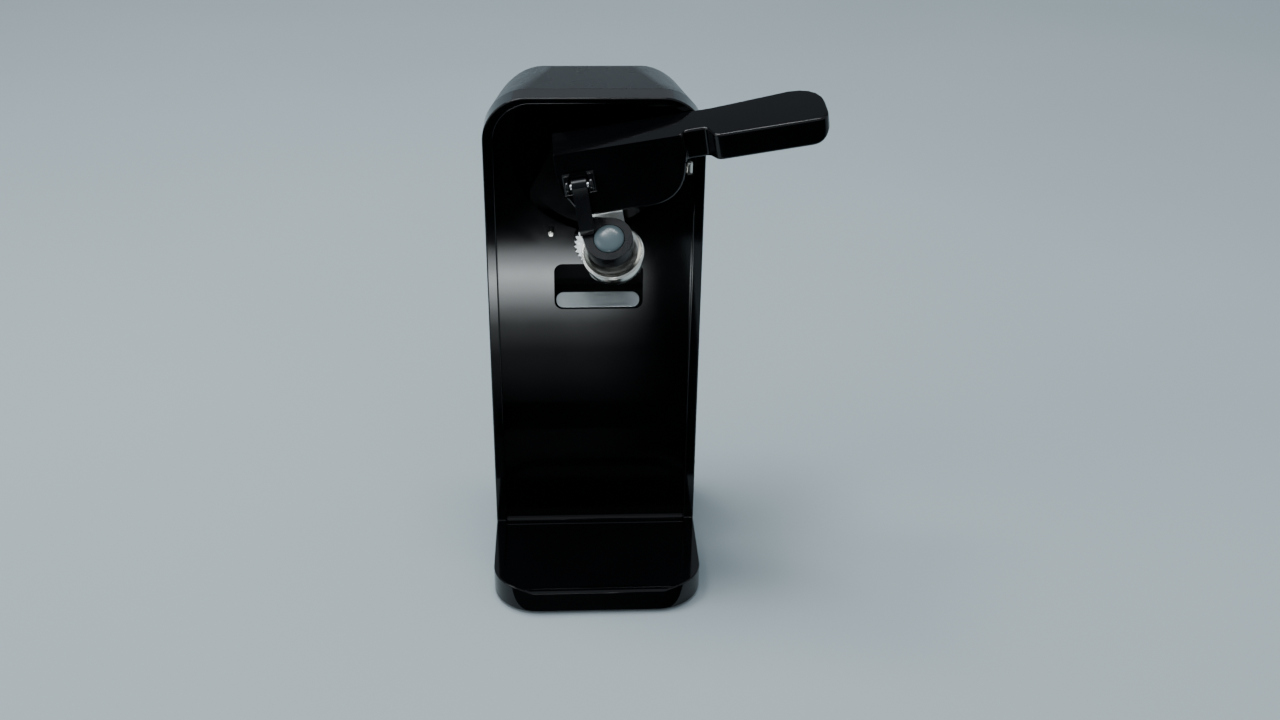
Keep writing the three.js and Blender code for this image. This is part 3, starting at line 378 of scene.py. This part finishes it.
def rounded_copy(name, body, material, width, back):
    """A copy of a large moulding, with its edges in front of a plane rounded except at narrow slivers."""
    narrow = math.radians(25)
    clearance = 1.5 * MM
    node = frame["nodes"][name]
    shape = bmesh.new()
    shape.from_mesh(node.data)
    bmesh.ops.remove_doubles(shape, verts=shape.verts, dist=WELD_DISTANCE)
    bmesh.ops.dissolve_limit(shape, angle_limit=FLAT_ANGLE, verts=shape.verts, edges=shape.edges)
    sharp = {edge for edge in shape.edges if edge.calc_face_angle(0) > EDGE_ANGLE}
    slivers = set()
    for vertex in shape.verts:
        ways = [edge.other_vert(vertex).co - vertex.co for edge in vertex.link_edges if edge in sharp]
        for i, way in enumerate(ways):
            if any(way.angle(other) < narrow for other in ways[:i]):
                slivers.add(vertex)

    def rounded(vertex):
        return vertex.co.y < back and all((vertex.co - tip.co).length > clearance for tip in slivers)

    edges = [edge for edge in sharp if all(rounded(vertex) for vertex in edge.verts)]
    edges.sort(key=lambda edge: edge.index)
    bmesh.ops.bevel(
        shape, geom=edges, offset=width * MM, offset_type="OFFSET", segments=4, profile=0.5,
        affect="EDGES", clamp_overlap=False,
    )
    mesh = bpy.data.meshes.new(f"{name}_rounded")
    shape.to_mesh(mesh)
    shape.free()
    obj = bpy.data.objects.new(f"{name}_rounded", mesh)
    bpy.context.collection.objects.link(obj)
    obj.matrix_world = node.matrix_world.copy()
    assign(obj, MATERIALS[material])
    shade_smooth(obj)
    mesh.set_sharp_from_angle(angle=math.radians(30))
    weighted = obj.modifiers.new("normals", "WEIGHTED_NORMAL")
    weighted.keep_sharp = True
    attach(obj, body)
    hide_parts(name)


def place_along(obj, position, axis):
    """Puts a turned piece at a point, with its Z axis along the given direction."""
    turn = Vector((0, 0, 1)).rotation_difference(Vector(axis).normalized())
    obj.matrix_world = Matrix.Translation(position) @ turn.to_matrix().to_4x4()


def rounded_corner(center, radius, start, end, steps=5):
    """Points of an arc in a turned profile; angles in degrees."""
    points = []
    for i in range(steps + 1):
        angle = math.radians(start + (end - start) * i / steps)
        points.append((center[0] + radius * math.cos(angle), center[1] + radius * math.sin(angle)))
    return points


def cutter_wheel():
    """The chromed cutter: a dished face inside a bright double rim, over a plain drum."""
    joint = JOINTS["cutter_spin"]
    profile = [(1.9, -5.0), (3.9, -5.0)]
    profile += [(5.0, -4.5), (8.1, -3.05), (11.0, -1.7)]
    profile += [(11.25, -1.45), (12.4, -0.45)]
    profile += rounded_corner((13.0, -0.25), 0.42, 160, 40)
    profile += [(13.4, -0.35)]
    profile += rounded_corner((13.72, -0.62), 0.3, 80, -60)
    profile += [(13.6, -1.35)]
    profile += [(13.42, -1.6), (13.6, -2.2), (13.68, -5.9), (13.4, -6.5), (1.9, -6.5), (1.9, -5.0)]
    wheel = lathe("cutter_dish", profile, 160, MATERIALS["chrome"])
    place_along(wheel, joint["pos_m"], joint["axis"])
    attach(wheel, "cutter")
    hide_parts("cutter_wheel")


def magnet_cap():
    """The slate-grey dome in the middle of the lid magnet."""
    axis = Vector(JOINTS["cutter_spin"]["axis"]).normalized()
    leftward = Vector(JOINTS["magnet_arm_hinge"]["axis"]).normalized()
    centre = Vector(JOINTS["cutter_spin"]["pos_m"]) + axis * 12 * MM + leftward * 0.4 * MM
    profile = [(0, -1.3), (6.7, -1.3), (6.7, -0.2)]
    for share in range(1, 15):
        angle = math.radians(90 * share / 14)
        profile.append((6.7 * math.cos(angle) ** 0.8 if share < 14 else 0, 2.35 * math.sin(angle)))
    cap = lathe("cap_dome", profile, 96, MATERIALS["cap"])
    place_along(cap, centre, axis)
    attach(cap, "magnet_arm_set")
    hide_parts("magnet_cap")


def tray_fillet():
    """The rounded corner where the fascia runs down to a low ledge on the tray of the foot."""
    radius = 2.4 * MM
    ledge = 1.6 * MM
    step = 0.8 * MM
    edge = 0.5 * MM
    half = 44.8 * MM
    corner_y = FASCIA_Y - radius
    corner_z = TRAY_Z + step + radius
    edge_y = corner_y - ledge
    section = [(FASCIA_Y + 0.4 * MM, TRAY_Z - 0.3 * MM), (FASCIA_Y + 0.4 * MM, corner_z)]
    for angle in (math.radians(90 * i / 8) for i in range(9)):
        section.append((corner_y + radius * math.cos(angle), corner_z - radius * math.sin(angle)))
    for angle in (math.radians(90 * i / 5) for i in range(6)):
        y = edge_y - edge * math.sin(angle)
        z = TRAY_Z + step - edge + edge * math.cos(angle)
        section.append((y, z))
    section.append((edge_y - edge, TRAY_Z - 0.3 * MM))
    mesh = bpy.data.meshes.new("tray_fillet")
    shape = bmesh.new()
    ends = []
    for x in (MIDDLE_X - half, MIDDLE_X + half):
        ends.append([shape.verts.new((x, y, z)) for y, z in section])
    count = len(section)
    for i in range(count):
        j = (i + 1) % count
        shape.faces.new([ends[0][i], ends[0][j], ends[1][j], ends[1][i]])
    shape.faces.new(ends[0])
    shape.faces.new(ends[1])
    bmesh.ops.recalc_face_normals(shape, faces=shape.faces)
    shape.to_mesh(mesh)
    shape.free()
    fillet = bpy.data.objects.new("tray_fillet", mesh)
    bpy.context.collection.objects.link(fillet)
    assign(fillet, MATERIALS["gloss"])
    shade_smooth(fillet)
    mesh.set_sharp_from_angle(angle=math.radians(40))
    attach(fillet, "housing")


# ---- Camera, light and floor ----


def add_camera():
    from_rim = Vector((-12.7, -602.7, 424.8)) * MM
    pitch, yaw, roll = (math.radians(value) for value in (27.91, 3.26, 0.86))
    turn = Matrix.Rotation(-yaw, 4, "Z") @ Matrix.Rotation(math.pi / 2 - pitch, 4, "X")
    data = bpy.data.cameras.new("camera")
    data.lens = 39.94
    data.sensor_width = 36
    data.clip_start = 0.01
    camera = bpy.data.objects.new("camera", data)
    bpy.context.collection.objects.link(camera)
    origin = Vector((MIDDLE_X, RIM_Y, 0))
    camera.matrix_world = Matrix.Translation(origin + from_rim) @ turn @ Matrix.Rotation(roll, 4, "Z")
    bpy.context.scene.camera = camera


def add_floor():
    """A pale seamless sweep: flat under the opener, curving up far behind it."""
    half_width, front, back, radius, height = 4.0, -4.0, 1.1, 0.9, 3.0
    outline = [(front, 0), (back, 0)]
    steps = 24
    for i in range(1, steps + 1):
        angle = math.radians(90 * i / steps)
        outline.append((back + radius * math.sin(angle), radius - radius * math.cos(angle)))
    outline.append((back + radius, height))
    mesh = bpy.data.meshes.new("floor")
    shape = bmesh.new()
    rows = []
    for x in (-half_width, half_width):
        rows.append([shape.verts.new((x, y, z)) for y, z in outline])
    for i in range(len(outline) - 1):
        shape.faces.new([rows[0][i], rows[1][i], rows[1][i + 1], rows[0][i + 1]])
    shape.to_mesh(mesh)
    shape.free()
    floor = bpy.data.objects.new("floor", mesh)
    bpy.context.collection.objects.link(floor)
    shade_smooth(floor)
    material, nodes, links = new_material("sweep")
    shader = nodes["Principled BSDF"]
    coords = object_coords(nodes)
    tint = noise(nodes, links, coords, 2.5, 2)
    color = blend_colors(nodes, links, tint, (0.53, 0.61, 0.635), (0.56, 0.64, 0.665))
    links.new(color, shader.inputs["Base Color"])
    links.new(remap(nodes, links, noise(nodes, links, coords, 9), 0.5, 0.6), shader.inputs["Roughness"])
    shader.inputs["Specular IOR Level"].default_value = 0.0  # a dull floor shows none of the cards
    assign(floor, material)


def reflection_only(obj):
    """The opener's gloss shows this card, but it neither lights the scene nor shows itself."""
    obj.visible_camera = False
    obj.visible_diffuse = False
    obj.visible_shadow = False
    obj.visible_transmission = False


def card(name, low, high, height, material):
    mesh = bpy.data.meshes.new(name)
    corners = [(low[0], low[1]), (high[0], low[1]), (high[0], high[1]), (low[0], high[1])]
    mesh.from_pydata([(x, y, height) for x, y in corners], [], [(0, 1, 2, 3)])
    obj = bpy.data.objects.new(name, mesh)
    bpy.context.collection.objects.link(obj)
    assign(obj, material)
    reflection_only(obj)
    return obj


def emission(name, color, strength):
    material, nodes, links = new_material(name)
    nodes.remove(nodes["Principled BSDF"])
    shader = nodes.new("ShaderNodeEmission")
    shader.inputs["Color"].default_value = (*color, 1)
    shader.inputs["Strength"].default_value = strength
    links.new(shader.outputs["Emission"], nodes["Material Output"].inputs["Surface"])
    return material, nodes, links, shader


def fade(nodes, links, coord, low, high, from_low, from_high):
    node = nodes.new("ShaderNodeMapRange")
    node.interpolation_type = "SMOOTHSTEP"
    node.inputs["From Min"].default_value = from_low
    node.inputs["From Max"].default_value = from_high
    node.inputs["To Min"].default_value = low
    node.inputs["To Max"].default_value = high
    links.new(coord, node.inputs["Value"])
    return node.outputs["Result"]


# Brightness of the light on the floor in front: distance from the rim in millimetres, and share.
PATCH_PROFILE = [
    (386, 0.0), (352, 0.42), (322, 1.0), (302, 0.70), (282, 0.40), (262, 0.18), (242, 0.07), (200, 0.02),
    (130, 0.003),
]
PATCH_STRENGTH = 16.5


def patch_profile(nodes, links, y):
    """The profile as a smooth ramp along Y."""
    far = PATCH_PROFILE[0][0]
    near = PATCH_PROFILE[-1][0]
    place = nodes.new("ShaderNodeMapRange")
    place.inputs["From Min"].default_value = RIM_Y - far * MM
    place.inputs["From Max"].default_value = RIM_Y - near * MM
    links.new(y, place.inputs["Value"])
    ramp = nodes.new("ShaderNodeValToRGB")
    ramp.color_ramp.interpolation = "EASE"
    stops = ramp.color_ramp.elements
    while len(stops) < len(PATCH_PROFILE):
        stops.new(0.5)
    for stop, (distance, share) in zip(stops, PATCH_PROFILE):
        stop.position = (far - distance) / (far - near)
        stop.color = (share, share, share, 1)
    links.new(place.outputs["Result"], ramp.inputs["Fac"])
    return ramp.outputs["Color"]


def light_patch(far, near):
    """The bright patch on the floor in front: brightest at the left, and fading out to the right."""
    material, nodes, links, shader = emission("light_patch", (0.90, 0.97, 1.0), 1.0)
    along = patch_profile(nodes, links, axis_coord(nodes, links, "Y"))
    fade_start = MIDDLE_X - 5 * MM
    fade_end = fade_start + 58 * MM
    x = axis_coord(nodes, links, "X")
    across = fade(nodes, links, x, PATCH_STRENGTH, 0.1, fade_start, fade_end)
    product = nodes.new("ShaderNodeMath")
    product.operation = "MULTIPLY"
    links.new(along, product.inputs[0])
    links.new(across, product.inputs[1])
    links.new(product.outputs["Value"], shader.inputs["Strength"])
    card("light_patch", (MIDDLE_X - 90 * MM, far), (MIDDLE_X + 75 * MM, near), 0.5 * MM, material)


def grey_flag():
    """A tall card behind the opener, which dims upwards."""
    low, high = 0.36, 2.4
    material, nodes, links, shader = emission("grey_flag", (0.80, 0.90, 1.0), 1.0)
    level = fade(nodes, links, axis_coord(nodes, links, "Y"), 0.34, 0.16, 0.5, 0.9)
    links.new(level, shader.inputs["Strength"])
    flag = card("grey_flag", (-1.8, low), (1.8, high), 0, material)
    behind = Matrix.Translation((0, RIM_Y + 0.55, 0))
    flag.matrix_world = behind @ Matrix.Rotation(math.pi / 2, 4, "X")


def add_cards():
    """What the gloss reflects: a bright patch on the floor in front, and other cards round it."""
    far = RIM_Y - PATCH_PROFILE[0][0] * MM
    foot_front = RIM_Y - FOOT_REACH
    light_patch(far, foot_front - 0.5 * MM)

    # Painted shade: dark cards that only the gloss sees. They stand in for shade in the reflection of the
    # floor in front, and over the rounded front edge of the foot they take away its highlight.
    dark = emission("reflected_shade_card", (0.01, 0.012, 0.015), 0.25)[0]
    card("reflected_shade_card", (-3, -3.5), (3, far), 0.6 * MM, dark)
    low, high = (MIDDLE_X - 52 * MM, foot_front - 16 * MM), (MIDDLE_X + 52 * MM, foot_front + 14 * MM)
    card("foot_reflected_shade", low, high, 36 * MM, dark)

    grey_flag()

    light = emission("edge_light", (0.93, 0.97, 1.0), 9)[0]
    card("edge_light", (-0.95, 0.12), (0.0, 0.55), 1.5, light)


def add_area(name, size, power, location, target, color=(1, 1, 1)):
    data = bpy.data.lights.new(name, "AREA")
    data.shape = "RECTANGLE"
    data.size, data.size_y = size
    data.energy = power
    data.color = color
    light = bpy.data.objects.new(name, data)
    light.location = location
    direction = Vector(target) - Vector(location)
    light.rotation_euler = direction.to_track_quat("-Z", "Y").to_euler()
    bpy.context.collection.objects.link(light)
    return light


def add_lights():
    world = bpy.data.worlds.new("studio")
    world.use_nodes = True
    background = world.node_tree.nodes["Background"]
    background.inputs["Color"].default_value = (0.72, 0.80, 0.88, 1)
    background.inputs["Strength"].default_value = 0.6
    bpy.context.scene.world = world
    add_area("overhead", (0.7, 0.35), 12, (-0.42, 0.2, 1.6), (0, 0, 0.1), (0.93, 0.97, 1.0))
    add_area("top_strip", (0.4, 0.1), 3, (0.05, 0.1, 1.5), (0, 0, 0.1), (0.95, 0.98, 1.0))
    add_area("left_soft", (0.9, 1.2), 5, (-1.5, -0.5, 0.9), (0, 0, 0.12), (0.95, 0.98, 1.0))


dress_nodes()
rounded_copy("lever", "lever_set", "lever", 0.9, RIM_Y - 7 * MM)
rounded_copy("front_housing", "housing", "gloss", 0.7, RIM_Y + 1 * MM)
cutter_wheel()
magnet_cap()
tray_fillet()
add_camera()
add_floor()
add_cards()
add_lights()
